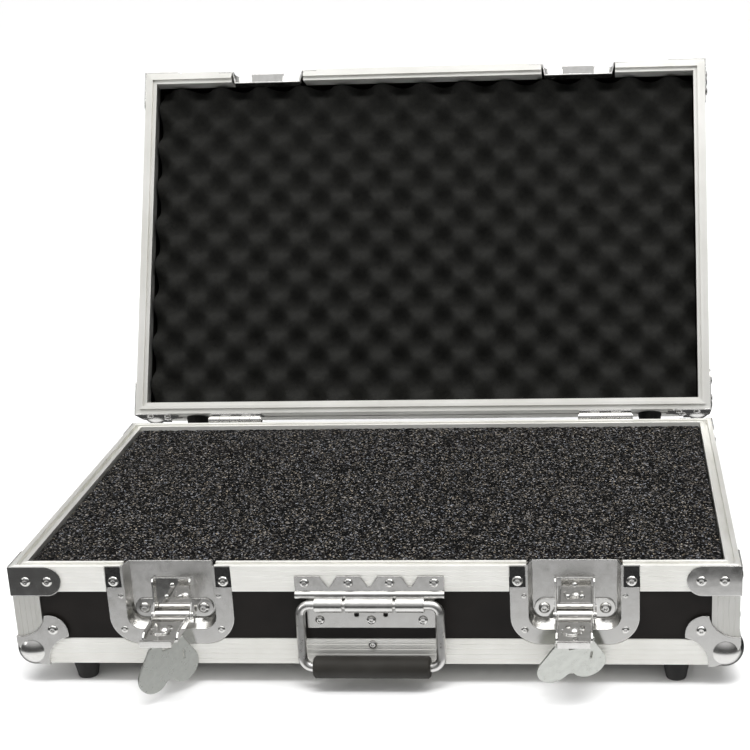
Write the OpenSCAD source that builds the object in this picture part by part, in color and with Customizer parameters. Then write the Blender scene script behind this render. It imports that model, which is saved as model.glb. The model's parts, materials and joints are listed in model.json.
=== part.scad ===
// A small flight case for guitar pedals, standing open on its rubber feet.
// The case's own frame has X along the width with 0 in the middle, Y from the front face to the
// back and Z up from the underside of the base. Lid pieces are drawn closed and then swung open.

/* [Case] */
// Width over the edging
case_w = 600; // [560:5:700]
// Depth from the front face to the rear face
case_d = 373; // [340:1:450]
// Height of the base, without its feet
base_h = 88; // [84:1:110]
// Height of the lid
lid_h = 50; // [46:1:70]
// Angle by which the lid stands open
lid_open = 117; // [95:1:118]
// Gap between the two rims when the case is shut
lid_gap = 0.4; // [0.3:0.1:0.6]

/* [Panels and foam] */
// Thickness of the laminated panels
panel_t = 7; // [6:0.5:7.5]
// Thickness of the felt lining on the walls
lining_t = 3; // [2:0.5:4]
// Gap left around a foam or lining piece
foam_gap = 0.4; // [0.3:0.1:1]
// Distance from the rim down to the top of the base foam
foam_drop = 2; // [1:1:12]
// Thickness of the lid foam at its peaks
lid_foam_t = 31; // [26:1:33]
// Height of the lid foam's peaks above its valleys
crate_h = 17; // [10:1:20]
// Distance between two peaks in one row of the lid foam
crate_pitch = 43; // [38:1:50]

/* [Edging] */
// Thickness of the extruded legs
edge_t = 1.6; // [1.2:0.1:2]
// Width of the extruded legs
leg_w = 22.5; // [20:0.5:24]
// Thickness of the rim extrusion
rim_t = 12; // [11:0.5:12.5]
// Height of the solid head of the rim extrusion
rim_head = 10; // [8:0.5:11]
// Height of the full thickness part of that head
rim_lip = 6; // [4:0.5:7]
// Height of the rim extrusion's inner leg
rim_inner = 20; // [16:1:22]
// Distance from the outer face to the rim groove
groove_in = 4.2; // [3.5:0.1:5]
// Width of the rim groove
groove_w = 4.5; // [4:0.1:5]
// Depth of the rim groove
groove_d = 3.5; // [3:0.1:4]
// Height of the tongue on the lid rim
tongue_h = 3; // [2:0.1:3]
// Clearance on each side of the tongue
tongue_gap = 0.6; // [0.5:0.1:0.8]
// Number of flutes along each leg
flutes = 4; // [2:1:6]
// Width of a flute
flute_w = 1.5; // [0.8:0.1:2]
// Depth of a flute
flute_d = 0.35; // [0.2:0.05:0.7]

/* [Corners] */
// Thickness of the steel corner pieces
steel_t = 1.2; // [1:0.1:1.5]
// Radius of the ball of a corner
ball_r = 16; // [15:0.5:17]
// Distance of the ball's centre from each face
ball_in = 11.2; // [11:0.1:12.5]
// Centre of the round lobe of a corner plate
lobe_at = 28; // [26:1:30]
// Radius of that lobe
lobe_r = 16; // [14:1:17]
// Reach of a rim brace along the rim
brace_l = 43; // [38:1:48]
// Height of a rim brace
brace_h = 26; // [24:1:26]

/* [Feet] */
// Height of a rubber foot
foot_h = 20; // [14:1:24]
// Radius of a foot where it is fixed
foot_r = 12; // [10:0.5:13]
// Radius of a foot at its free end
foot_tip_r = 8; // [7.5:0.5:9]
// Distance of a foot's centre from the case's side
foot_in_x = 50; // [48:1:70]
// Distance of a foot's centre from the front or rear face
foot_in_y = 18; // [16:1:30]
// Distance of a rear wall's foot from the case's side
rear_foot_in = 61; // [58:1:64]
// Height of a foot's solid end, under its screw well
foot_web = 5; // [4:0.5:7]

/* [Latches] */
// Distance of a latch's middle from the case's side
latch_in = 133; // [120:1:150]
// Width of the dish's flange
flange_w = 105; // [100:1:112]
// Height of the flange's lower edge above the base's underside
flange_z = 18; // [16:1:22]
// Radius of the flange's lower corners
flange_r = 25; // [15:1:28]
// Width of the dish's recess
recess_w = 75; // [72:1:78]
// Height of the recess's lower edge above the base's underside
recess_z = 31.4; // [29:0.2:33]
// Radius of the recess's lower corners
recess_r = 12; // [8:1:14]
// Depth of the recess from the front face
recess_d = 12.4; // [12:0.2:13]
// Inward slope of the recess's walls over its depth
recess_slope = 3; // [1:0.5:4]
// Height of the lid's recess
lid_recess_h = 17; // [15:1:18]
// Height of the lid dish's flange
lid_flange_h = 27; // [24:0.5:27]
// Height of the arm's pivot above the base's underside
pivot_z = 42.5; // [41:0.5:44]
// Distance of the pivot behind the front face
pivot_y = 4; // [3.5:0.5:4.5]
// Radius of the pivot pin
pin_r = 2; // [1.5:0.1:2.5]
// Radius of the arm's hinge barrel
barrel_r = 4; // [3.8:0.1:4.2]
// Width of the arm
arm_w = 29.4; // [28:0.2:31]
// Length of the arm from its pivot
arm_l = 43; // [40:1:45]
// Thickness of the latch's pressed steel
press_t = 1.5; // [1.3:0.1:1.6]
// Height of the arm's side flanges
arm_side = 6.5; // [5:0.5:7]
// Distance from the pivot to the key's stud
stud_s = 27.7; // [26:0.1:29]
// Radius of the key's stud
stud_r = 4; // [3.5:0.1:4.5]
// Radius of the cam
cam_r = 5; // [4.5:0.1:5.2]
// Angle through which the key turns
key_turn = 45; // [40:1:50]
// Distance from the pivot to the top of the hook
hook_l = 56; // [55:0.5:57]
// Depth of the hook's lip
hook_lip = 4.9; // [4.5:0.1:5.2]
// Travel of the hook over the key's turn
hook_travel = 4; // [3.5:0.1:4]
// Distance from the arm's outer face to the wing's pin
wing_out = 6; // [5.8:0.1:7]
// Radius of a lobe of the wing
wing_r = 14.8; // [12:0.1:15]
// Distance from the wing's pin to the centre of its lobes
wing_drop = 27; // [22:0.5:28]
// Half the width of the wing at its pin
wing_top = 16.5; // [14:0.5:18]
// Angle at which the left key stands
left_turn = 50; // [0:1:50]
// Angle at which the right key stands
right_turn = 21; // [0:1:50]
// Lean of the right wing towards the case
right_lean = 18; // [0:1:20]

/* [Handle] */
// Distance between the middles of the bail's arms
bail_w = 115; // [100:1:120]
// Distance between the middles of the bail's bars
bail_drop = 54.5; // [50:0.5:56]
// Radius of the bail's rod
bail_r = 4; // [3.5:0.1:4.5]
// Radius of the grip
grip_r = 9.25; // [8:0.25:10]
// Length of the grip
grip_l = 97; // [80:1:99]
// Height of the bail's pivot above the base's underside
rod_z = 56; // [54:0.5:58]
// Width of the handle plate's top flange
handle_w = 123; // [118:1:130]
// Width of the handle plate's lower part
handle_low_w = 106; // [100:1:110]
// Height of the handle plate's top flange
handle_flange_h = 13.6; // [12:0.2:15]
// Height of the plate's lower edge above the base's underside
handle_low_z = 32.8; // [30:0.2:34]
// Distance of a row's end rivets from the plate's ends
handle_rivet_in = 8.2; // [7:0.2:10]
// Distance of the top flange's inner rivets from the middle
handle_rivet_x = 17; // [15:0.5:19]
// Distance between two notches of the top flange
notch_pitch = 33.5; // [31:0.5:35]
// Width of a notch at its mouth
notch_w = 14; // [10:0.5:16]
// Depth of a notch
notch_h = 9; // [6:0.5:10]
// Distance of the lower part's slots from the middle
handle_slot_x = 12; // [10:0.5:14]

/* [Hinges] */
// Distance of a hinge's middle from the case's side
hinge_in = 107; // [100:1:120]
// Length of a hinge
hinge_l = 54; // [40:1:60]
// Distance of the hinge axis behind the rear face
hinge_out = 7.5; // [7:0.5:9]
// Radius of the hinge pin
hinge_pin_r = 2.5; // [2:0.1:2.6]
// Radius of the hinge knuckles
knuckle_r = 4.5; // [4:0.1:4.8]

/* [Hidden] */
$fn = 64;

black = [0.12, 0.11, 0.10];
silver = [0.80, 0.79, 0.76];
steel = [0.75, 0.76, 0.78];
foam_grey = [0.16, 0.16, 0.15];
rubber_black = [0.10, 0.10, 0.10];

eps = 0.01;
run_gap = 0.05;
part_gap = 0.3;
inner_face = edge_t + panel_t;
lid_z = base_h + lid_gap;
top_z = lid_z + lid_h;
hinge_y = case_d + hinge_out;
hinge_z = base_h + lid_gap / 2;
panel_top = base_h - rim_head;
latch_x = case_w / 2 - latch_in;
hinge_x = case_w / 2 - hinge_in;
rear_foot_x = case_w / 2 - rear_foot_in;

// Members stop short of each corner at this plane, x + y + z from the corner
corner_cut = 24;
// The sphere that rounds the folded corner plates off
round_at = 28;
round_r = 42;

// On the low lid the braces are shorter and the corners' side lobes end where the braces start
lid_brace_h = min(brace_h, lid_h - lobe_at + 1);
lid_lobe_h = lid_h - lid_brace_h - part_gap;

flange_y = edge_t - steel_t;
dish_back = recess_d + steel_t;
tab_h = 19;

// Front and rear reach of the open case, for the middle of its footprint
front_reach = pivot_y - hook_l;
rear_reach = hinge_y + (hinge_y - ball_in) * cos(180 - lid_open)
    + (top_z - ball_in - hinge_z) * sin(lid_open) + ball_r;
mid_y = (front_reach + rear_reach) / 2;

// Moves the case's frame to the object's: floor at 0, footprint in the middle
module placed() {
    translate([0, -mid_y, foot_h]) children();
}

// Swings lid pieces, drawn closed, to the open pose
module on_lid() {
    placed() translate([0, hinge_y, hinge_z]) rotate([-lid_open, 0, 0])
        translate([0, -hinge_y, -hinge_z]) children();
}

// Repeats a front piece at the rear
module at_rear() {
    translate([0, case_d, 0]) mirror([0, 1, 0]) children();
}

// Turns a piece drawn along the front to the left side
module at_left() {
    translate([-case_w / 2, 0, 0]) mirror([1, -1, 0]) children();
}

module at_right() {
    mirror([1, 0, 0]) at_left() children();
}

// Repeats a piece drawn in the frame of one corner, x, y and z inward, at four corners
module at_corners() {
    for (mx = [0, 1], my = [0, 1]) {
        translate([0, my * case_d, 0]) mirror([0, my, 0]) mirror([mx, 0, 0])
            translate([-case_w / 2, 0, 0]) children();
    }
}

// Turns a base piece upside down at the top of the lid
module under_top() {
    translate([0, 0, top_z]) mirror([0, 0, 1]) children();
}

// Turns a base rim piece over onto the lid's rim
module over_rim() {
    translate([0, 0, lid_z + base_h]) mirror([0, 0, 1]) children();
}

// Extrudes a shape drawn as x and z from y0 to y1
module in_face(y0, y1) {
    translate([0, y1, 0]) rotate([90, 0, 0]) linear_extrude(y1 - y0) children();
}

// Extrudes a shape drawn as y and z from x0 to x1
module in_side(x0, x1) {
    translate([x0, 0, 0]) rotate([90, 0, 90]) linear_extrude(x1 - x0) children();
}

module box(lo, hi) {
    translate(lo) cube(hi - lo);
}

// Everything nearer a corner than the plane x + y + z = corner_cut
module corner_space() {
    big = 200;
    rotate([0, acos(1 / sqrt(3)), 45]) translate([-big / 2, -big / 2, -big])
        cube([big, big, big + corner_cut / sqrt(3)]);
}

module trim_bottom() {
    difference() {
        children();
        at_corners() corner_space();
    }
}

module trim_top() {
    difference() {
        children();
        under_top() at_corners() corner_space();
    }
}

// Points along a fluted face of length l, as distance along it and depth into it
function flute_points(l) = [
    for (i = [1 : flutes], k = [-1 : 1])
        [l * i / (flutes + 1) + k * flute_w / 2, k == 0 ? flute_d : 0]
];

function backwards(list) = [for (i = [len(list) - 1 : -1 : 0]) list[i]];

// L section: one leg up from the corner and one leg inward
function angle_section() = concat(
    [[0, 0]],
    [for (p = flute_points(leg_w)) [p[1], p[0]]],
    [[0, leg_w], [edge_t, leg_w], [edge_t, edge_t], [leg_w, edge_t], [leg_w, 0]],
    [for (p = backwards(flute_points(leg_w))) p]
);

// Rim section with its mouth at height 0: a groove where key_v is negative, else a tongue
function rim_section(key_a, key_b, key_v) = concat(
    [[0, 0], [key_a, 0], [key_a, key_v], [key_b, key_v], [key_b, 0], [rim_t, 0]],
    [[rim_t, -rim_lip], [inner_face + edge_t, -rim_lip], [inner_face + edge_t, -rim_inner]],
    [[inner_face, -rim_inner], [inner_face, -rim_head], [edge_t, -rim_head]],
    [[edge_t, -leg_w], [0, -leg_w]],
    [for (p = backwards(flute_points(leg_w))) [p[1], -p[0]]]
);

// A bar with mitred ends, its section given as distance inward and height
module mitred_bar(l, section) {
    deep = leg_w + 5;
    intersection() {
        translate([-l / 2, 0, 0]) in_side(0, l) polygon(section);
        translate([0, 0, -deep]) linear_extrude(2 * deep)
            polygon([[-l / 2, 0], [l / 2, 0], [l / 2 - deep, deep], [-l / 2 + deep, deep]]);
    }
}

// The same bar drawn from 0, for a side of the case
module side_bar(section) {
    translate([case_d / 2, 0, 0]) mitred_bar(case_d, section);
}

// A set rivet with its hollow stem, standing on the plane z = 0
module rivet(r = 4.2, h = 1.7) {
    stem = r * 0.3;
    rotate_extrude() polygon([
        [stem, h * 0.45], [stem, h], [r * 0.55, h], [r * 0.85, h * 0.7], [r, h * 0.25],
        [r, 0], [0, 0], [0, h * 0.45]
    ]);
}

// A plain domed rivet
module dome(r, h) {
    rotate_extrude() intersection() {
        translate([0, h - (r * r + h * h) / (2 * h)]) circle(r = (r * r + h * h) / (2 * h));
        square([r, h]);
    }
}

module face_front() {
    rotate([90, 0, 0]) children();
}

module face_left() {
    rotate([0, -90, 0]) children();
}

// Panels

module floor_panel() {
    trim_bottom() box(
        [-case_w / 2 + edge_t, edge_t, edge_t],
        [case_w / 2 - edge_t, case_d - edge_t, inner_face]
    );
}

module wall_panel_x(z0, z1) {
    box([-case_w / 2 + edge_t, edge_t, z0], [case_w / 2 - edge_t, inner_face, z1]);
}

module wall_panel_y(z0, z1) {
    box([-case_w / 2 + edge_t, inner_face, z0], [-case_w / 2 + inner_face, case_d - inner_face, z1]);
}

module base_floor_panel() {
    color(black) placed() floor_panel();
}

module base_front_panel() {
    color(black) placed() difference() {
        trim_bottom() wall_panel_x(inner_face, panel_top);
        for (side = [-1, 1])
            translate([side * latch_x, 0, 0]) in_face(0, dish_back)
                recess_outline(steel_t + part_gap, recess_z, recess_r, base_h);
    }
}

module base_rear_panel() {
    color(black) placed() trim_bottom() at_rear() wall_panel_x(inner_face, panel_top);
}

module base_left_panel() {
    color(black) placed() trim_bottom() wall_panel_y(inner_face, panel_top);
}

module base_right_panel() {
    color(black) placed() mirror([1, 0, 0]) trim_bottom() wall_panel_y(inner_face, panel_top);
}

module base_lining() {
    lo = inner_face + foam_gap;
    color(foam_grey) placed() difference() {
        box([-case_w / 2 + lo, lo, inner_face], [case_w / 2 - lo, case_d - lo, base_h - rim_inner]);
        box(
            [-case_w / 2 + lo + lining_t, lo + lining_t, 0],
            [case_w / 2 - lo - lining_t, case_d - lo - lining_t, base_h]
        );
        for (side = [-1, 1])
            box(
                [side * latch_x - recess_w / 2 - steel_t - foam_gap, 0, recess_z - steel_t - foam_gap],
                [side * latch_x + recess_w / 2 + steel_t + foam_gap, dish_back + foam_gap, base_h]
            );
    }
}

module base_foam() {
    side = inner_face + lining_t + 2 * foam_gap;
    front = max(side, dish_back + foam_gap);
    color(foam_grey) placed() box(
        [-case_w / 2 + side, front, inner_face],
        [case_w / 2 - side, case_d - front, base_h - foam_drop]
    );
}

// Edging and rims

module base_bottom_edging() {
    color(silver) placed() difference() {
        trim_bottom() {
            mitred_bar(case_w, angle_section());
            at_rear() mitred_bar(case_w, angle_section());
            at_left() side_bar(angle_section());
            at_right() side_bar(angle_section());
        }
        for (side = [-1, 1])
            translate([side * latch_x, 0, 0]) in_face(-1, edge_t + eps) flange_outline(part_gap);
    }
}

module corner_posts(z0, z1) {
    at_corners() translate([0, 0, z0]) linear_extrude(z1 - z0) polygon(angle_section());
}

module base_corner_edging() {
    color(silver) placed() trim_bottom() corner_posts(leg_w, base_h - leg_w);
}

function groove_rim() = rim_section(groove_in, groove_in + groove_w, -groove_d);

function tongue_rim() =
    rim_section(groove_in + tongue_gap, groove_in + groove_w - tongue_gap, tongue_h);

// The parts of a front rim that give way to the dishes
module dish_cuts(low) {
    for (side = [-1, 1]) {
        box(
            [side * latch_x - recess_w / 2 - steel_t - part_gap, -1, low],
            [side * latch_x + recess_w / 2 + steel_t + part_gap, rim_t + 1, base_h + tongue_h + 1]
        );
        box(
            [side * latch_x - flange_w / 2 - part_gap, -1, low],
            [side * latch_x + flange_w / 2 + part_gap, edge_t, base_h + tongue_h + 1]
        );
    }
}

module base_rim_front() {
    color(silver) placed() difference() {
        translate([0, 0, base_h]) mitred_bar(case_w, groove_rim());
        dish_cuts(base_h - leg_w - 1);
    }
}

module base_rim_rear() {
    color(silver) placed() at_rear() translate([0, 0, base_h]) mitred_bar(case_w, groove_rim());
}

module base_rim_sides() {
    color(silver) placed() translate([0, 0, base_h]) {
        at_left() side_bar(groove_rim());
        at_right() side_bar(groove_rim());
    }
}

// Corner pieces

module corner_outline() {
    bite_r = 23;
    bite_a = 2;
    bite_b = 48;
    difference() {
        hull() {
            translate([-steel_t, -steel_t]) square(lobe_at);
            translate([lobe_at, lobe_at]) circle(r = lobe_r);
        }
        translate([bite_a, bite_b]) circle(r = bite_r);
        translate([bite_b, bite_a]) circle(r = bite_r);
    }
}

// One ball corner in the frame of its corner, its side lobes cut off at the height tall
module ball_corner(tall) {
    reach = 80;
    difference() {
        union() {
            intersection() {
                union() for (i = [0 : 2])
                    rotate(a = 120 * i, v = [1, 1, 1]) translate([0, 0, -steel_t])
                        linear_extrude(steel_t) corner_outline();
                translate([1, 1, 1] * round_at) sphere(r = round_r);
            }
            difference() {
                translate([1, 1, 1] * ball_in) sphere(r = ball_r);
                difference() {
                    cube(reach);
                    corner_space();
                }
            }
        }
        translate([1, 1, 1] * ball_in) sphere(r = ball_r - steel_t);
        translate([-ball_in, -ball_in, tall]) cube(reach);
    }
}

// Repeats a piece drawn in the left front corner at the right one
module at_front_pair() {
    for (m = [0, 1]) mirror([m, 0, 0]) translate([-case_w / 2, 0, 0]) children();
}

// A base corner, its flat lobe cut round the foot
module base_ball_corner() {
    difference() {
        ball_corner(2 * lobe_at);
        translate([foot_in_x, foot_in_y, -foot_h]) cylinder(r = foot_r + part_gap, h = foot_h);
    }
}

module base_front_ball_corners() {
    color(steel) placed() at_front_pair() base_ball_corner();
}

module base_rear_ball_corners() {
    color(steel) placed() at_rear() at_front_pair() base_ball_corner();
}

module lid_front_ball_corners() {
    color(steel) on_lid() under_top() at_front_pair() ball_corner(lid_lobe_h);
}

module lid_rear_ball_corners() {
    color(steel) on_lid() under_top() at_rear() at_front_pair() ball_corner(lid_lobe_h);
}

module brace_outline(h) {
    r = h / 2;
    translate([0, base_h - h]) union() {
        translate([-steel_t, 0]) square([brace_l - r + steel_t, h]);
        translate([brace_l - r, r]) circle(r = r);
    }
}

module brace(h) {
    in_face(-steel_t, 0) brace_outline(h);
    mirror([1, -1, 0]) in_face(-steel_t, 0) brace_outline(h);
}

module base_rim_braces() {
    color(steel) placed() at_corners() brace(brace_h);
}

module lid_rim_braces() {
    color(steel) on_lid() over_rim() at_corners() brace(lid_brace_h);
}

// Rivets of one ball corner, in the corner's frame: on its side lobes and its flat lobe
module ball_corner_rivets(along, up) {
    at = lobe_at + 3;
    translate([along, -steel_t, up]) face_front() rivet();
    translate([-steel_t, along, up]) face_left() rivet();
    translate([at, at, -steel_t]) mirror([0, 0, 1]) rivet();
}

// Rivets of one rim brace, in the corner's frame
module brace_rivets(h) {
    z = base_h - h / 2;
    for (at = [brace_l * 0.3, brace_l * 0.73]) {
        translate([at, -steel_t, z]) face_front() rivet();
        translate([-steel_t, at, z]) face_left() rivet();
    }
}

module base_rivets() {
    color(steel) placed() at_corners() {
        ball_corner_rivets(lobe_at + 3, lobe_at + 3);
        brace_rivets(brace_h);
    }
    color(steel) placed() hinge_leaf_rivets(-1);
}

// Feet

module foot() {
    well_r = foot_tip_r - 3;
    rotate_extrude() polygon([
        [pin_r + run_gap, 0], [foot_r, 0], [foot_r, -2], [foot_tip_r + 0.6, -foot_h + 1],
        [foot_tip_r, -foot_h], [well_r, -foot_h], [well_r, -foot_web], [pin_r + run_gap, -foot_web]
    ]);
}

module foot_screw() {
    head_r = foot_tip_r - 4;
    rotate_extrude() polygon([
        [0, 0], [pin_r, 0], [pin_r, -foot_web], [head_r, -foot_web], [head_r * 0.8, -foot_web - 2],
        [0, -foot_web - 2.4]
    ]);
}

module at_feet() {
    at_corners() translate([foot_in_x, foot_in_y, 0]) children();
}

module base_feet() {
    color(rubber_black) placed() at_feet() foot();
}

module at_rear_feet(y, z) {
    for (side = [-1, 1])
        translate([side * rear_foot_x, y, z]) rotate([90, 0, 0]) children();
}

rear_foot_z = (leg_w + base_h - leg_w) / 2;
lid_foot_z = lid_z + lid_h / 2;

module base_rear_feet() {
    color(rubber_black) placed() at_rear_feet(case_d - edge_t, rear_foot_z) foot();
}

module lid_rear_feet() {
    color(rubber_black) on_lid() at_rear_feet(case_d, lid_foot_z) foot();
}

module foot_screws() {
    color(steel) placed() {
        at_feet() foot_screw();
        at_rear_feet(case_d - edge_t, rear_foot_z) foot_screw();
    }
}

// Latch dishes

module flange_outline(grow) {
    hull() {
        for (s = [-1, 1])
            translate([s * (flange_w / 2 - flange_r), flange_z + flange_r])
                circle(r = flange_r + grow, $fn = 96);
        translate([-flange_w / 2 - grow, base_h - 1]) square([flange_w + 2 * grow, 1]);
    }
}

// U shaped mouth of a recess, open at the top
module recess_outline(grow, low, r, top) {
    hull() {
        for (s = [-1, 1])
            translate([s * (recess_w / 2 - r), low + r]) circle(r = r + grow, $fn = 64);
        translate([-recess_w / 2 - grow, top - 1]) square([recess_w + 2 * grow, 1]);
    }
}

module bowl(grow, low, r, top, y0, y1) {
    hull() {
        in_face(y0, y0 + eps) recess_outline(grow, low, r, top);
        in_face(y1 - eps, y1) recess_outline(grow - recess_slope, low + recess_slope, r, top);
    }
}

module dish(low, r, flange_low) {
    difference() {
        union() {
            difference() {
                in_face(flange_y, edge_t) children();
                in_face(0, recess_d) recess_outline(0, low, r, base_h + 1);
            }
            bowl(steel_t, low, r, base_h, flange_y, dish_back);
        }
        bowl(0, low, r, base_h + 2, flange_y - eps, recess_d);
    }
}

// The mouth of a bowl is this wide at its top corners, where the rivet tabs start
tab_x = recess_w / 2 + 2;

module base_dish() {
    color(steel) dish(recess_z, recess_r, flange_z) difference() {
        flange_outline(0);
        for (s = [-1, 1])
            translate([s * (tab_x + flange_w / 2 + 5) / 2, base_h - tab_h / 2])
                square([flange_w / 2 + 5 - tab_x, tab_h + eps], center = true);
    }
}

module left_latch_dish() {
    placed() translate([-latch_x, 0, 0]) base_dish();
}

module right_latch_dish() {
    placed() translate([latch_x, 0, 0]) base_dish();
}

module latch_tabs() {
    color(black) placed() for (side = [-1, 1], s = [-1, 1])
        translate([side * latch_x, 0, 0]) box(
            [s * (tab_x + flange_w / 2) / 2 - (flange_w / 2 - tab_x) / 2 + part_gap, flange_y,
                base_h - tab_h + part_gap],
            [s * (tab_x + flange_w / 2) / 2 + (flange_w / 2 - tab_x) / 2 - part_gap, edge_t, base_h - 1]
        );
}

module lid_latch_dishes() {
    low = base_h - lid_recess_h;
    r = 8;
    color(steel) on_lid() over_rim() for (side = [-1, 1])
        translate([side * latch_x, 0, 0]) dish(low, r, base_h - lid_flange_h) hull() {
            for (s = [-1, 1])
                translate([s * (flange_w / 2 - r), base_h - lid_flange_h + r]) circle(r = r);
            translate([-flange_w / 2, base_h - 1]) square([flange_w, 1]);
        }
}

// Latch bracket and pin

lug_x = 25;
lug_z = pivot_z + 3.5;
lug_r = 8.2;
bracket_w = arm_w + 2 * part_gap + 2 * press_t;
bracket_top = pivot_z + 30.5;

module latch_bracket() {
    back = recess_d;
    front = recess_d - press_t;
    color(steel) difference() {
        union() {
            in_face(front, back) {
                translate([-bracket_w / 2, pivot_z - barrel_r])
                    square([bracket_w, bracket_top - pivot_z + barrel_r]);
                hull() for (s = [-1, 1]) translate([s * lug_x, lug_z]) circle(r = lug_r, $fn = 48);
            }
            for (s = [-1, 1])
                translate([s * (bracket_w - press_t) / 2, 0, 0]) in_side(-press_t / 2, press_t / 2) {
                    polygon([
                        [back - eps, pivot_z - barrel_r], [pivot_y, pivot_z - barrel_r],
                        [pivot_y - barrel_r, pivot_z + 1], [front - 4, pivot_z + barrel_r + 6],
                        [front - 4, bracket_top - 2], [front - 2, bracket_top], [back - eps, bracket_top]
                    ]);
                    translate([pivot_y, pivot_z]) circle(r = barrel_r);
                }
        }
        in_side(-bracket_w, bracket_w) translate([pivot_y, pivot_z]) circle(r = pin_r + run_gap);
    }
}

module left_latch_bracket() {
    placed() translate([-latch_x, 0, 0]) latch_bracket();
}

module right_latch_bracket() {
    placed() translate([latch_x, 0, 0]) latch_bracket();
}

module latch_pivot_pins() {
    head_r = pin_r + 1.2;
    color(steel) placed() for (side = [-1, 1])
        translate([side * latch_x, pivot_y, pivot_z]) rotate([0, 90, 0]) {
            cylinder(r = pin_r, h = bracket_w + 2 * run_gap, center = true);
            for (s = [-1, 1]) translate([0, 0, s * (bracket_w / 2 + run_gap + 0.5)])
                cylinder(r = head_r, h = 1, center = true);
        }
}

module latch_rivets() {
    tab_rivet_x = (tab_x + flange_w / 2) / 2;
    tab_rivet_z = base_h - 13.4;
    margin_x = (recess_w + flange_w) / 4 - 4;
    small_z = [recess_z - 0.5, recess_z + 30];
    color(steel) placed() for (side = [-1, 1]) translate([side * latch_x, 0, 0]) {
        for (s = [-1, 1]) {
            translate([s * tab_rivet_x, flange_y, tab_rivet_z]) face_front() rivet(4.5, 1.9);
            translate([s * margin_x, flange_y, small_z[0]]) face_front() rivet(3, 0.9);
            translate([s * margin_x, flange_y, small_z[1]]) face_front() rivet(2.2, 0.6);
            translate([s * lug_x, recess_d - press_t, lug_z]) face_front() rivet(4.8, 2.4);
            translate([s * 5.9, recess_d - press_t, pivot_z + 13.2]) face_front() dome(2.4, 1.6);
        }
        translate([0, recess_d - press_t, pivot_z + 23.8]) face_front() dome(2.4, 1.6);
    }
}

// Swinging latch parts, drawn latched: z from the pivot up the arm, y inward

arm_out = 90;
arm_y = -barrel_r;
hook_y = arm_y + press_t + 0.1;
side_top = arm_y + arm_side;

// The cam's throw, which moves the hook by its travel over the key's turn
cam_e = hook_travel / 2 / sin(key_turn / 2);

module on_arm(side) {
    placed() translate([side * latch_x, pivot_y, pivot_z]) rotate([arm_out, 0, 0]) children();
}

module on_key(side, turn) {
    on_arm(side) translate([0, 0, stud_s]) rotate([0, turn, 0]) children();
}

module latch_arm() {
    color(steel) difference() {
        union() {
            rotate([0, 90, 0]) cylinder(r = barrel_r, h = arm_w, center = true);
            box([-arm_w / 2, arm_y, 0], [arm_w / 2, arm_y + press_t, arm_l]);
            for (s = [-1, 1])
                translate([s * (arm_w - press_t) / 2, 0, 0]) in_side(-press_t / 2, press_t / 2)
                    polygon([
                        [arm_y, 0], [side_top, 0], [side_top, arm_l - 5],
                        [side_top - 3, arm_l - 1], [arm_y, arm_l]
                    ]);
        }
        rotate([0, 90, 0]) cylinder(r = pin_r + run_gap, h = arm_w + 2, center = true);
        translate([0, 0, stud_s]) rotate([90, 0, 0])
            cylinder(r = stud_r + run_gap, h = 4 * barrel_r, center = true);
    }
}

module latch_hook() {
    w = arm_w - 2 * press_t - 2 * part_gap;
    cam_room = 0.15;
    window_z = stud_s + hook_travel / 2;
    window_x = 6;
    color(steel) difference() {
        union() {
            box([-w / 2, hook_y, stud_s - 16], [w / 2, hook_y + press_t, hook_l]);
            box([-w / 2, hook_y, hook_l - press_t], [w / 2, hook_y + hook_lip, hook_l]);
            box([-w / 2, hook_y + hook_lip - steel_t, hook_l - 3.1], [w / 2, hook_y + hook_lip, hook_l]);
        }
        box(
            [-cam_e - cam_r - cam_room, hook_y - 1, window_z - cam_r - cam_room],
            [window_x, hook_y + press_t + 1, window_z + cam_r + cam_room]
        );
    }
}

// The key with its tongue turned, and its cam where the hook is fully out
module latch_key(turn) {
    boss_r = 6;
    tongue_r = 3;
    pin = 1.5;
    head_r = 7.2;
    wing_y = arm_y - wing_out;
    boss_y = wing_y + tongue_r + 0.2;
    cam_y0 = arm_y + press_t + run_gap;
    cam_y1 = hook_y + press_t + run_gap;
    cam_x = -cam_e * cos(key_turn / 2);
    cam_z = hook_travel / 2;
    color(steel) translate([0, 0, stud_s]) union() {
        rotate([-90, 0, 0]) {
            translate([0, 0, boss_y]) cylinder(r = boss_r, h = arm_y - run_gap - boss_y);
            translate([0, 0, boss_y]) cylinder(r = stud_r, h = cam_y0 + 0.05 - boss_y);
            translate([cam_x, -cam_z, cam_y0]) cylinder(r = cam_r, h = cam_y1 - cam_y0);
            translate([cam_x / 2, -cam_z / 2, cam_y1]) cylinder(r = head_r, h = 1);
            translate([0, 0, cam_y1 + 1]) dome(3.4, 1.6);
        }
        rotate([0, turn, 0]) {
            box([-4, wing_y, -tongue_r], [4, boss_y + eps, tongue_r]);
            translate([0, wing_y, 0]) rotate([0, 90, 0]) cylinder(r = tongue_r, h = 8, center = true);
            translate([0, wing_y, 0]) rotate([0, 90, 0])
                cylinder(r = pin, h = 2 * wing_top, center = true);
        }
    }
}

module wing_outline() {
    blend = 5;
    offset(r = -blend) offset(r = blend) for (s = [-1, 1]) hull() {
        translate([s * wing_r, -wing_drop]) circle(r = wing_r, $fn = 72);
        translate([-wing_top, -3]) square([2 * wing_top, 1]);
    }
}

module latch_wing() {
    pin = 1.5;
    ear_x = 4.3;
    slot_at = 16;
    color(steel) difference() {
        union() {
            translate([0, 0, -press_t / 2]) linear_extrude(press_t) wing_outline();
            rotate([0, 90, 0]) cylinder(r = 3, h = 2 * wing_top - 2, center = true);
        }
        box([-ear_x, -8, -4], [ear_x, 4, 4]);
        rotate([0, 90, 0]) cylinder(r = pin + run_gap, h = 3 * wing_top, center = true);
        translate([slot_at, -18, 0]) cube([2, 8, 4], center = true);
    }
}

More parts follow.
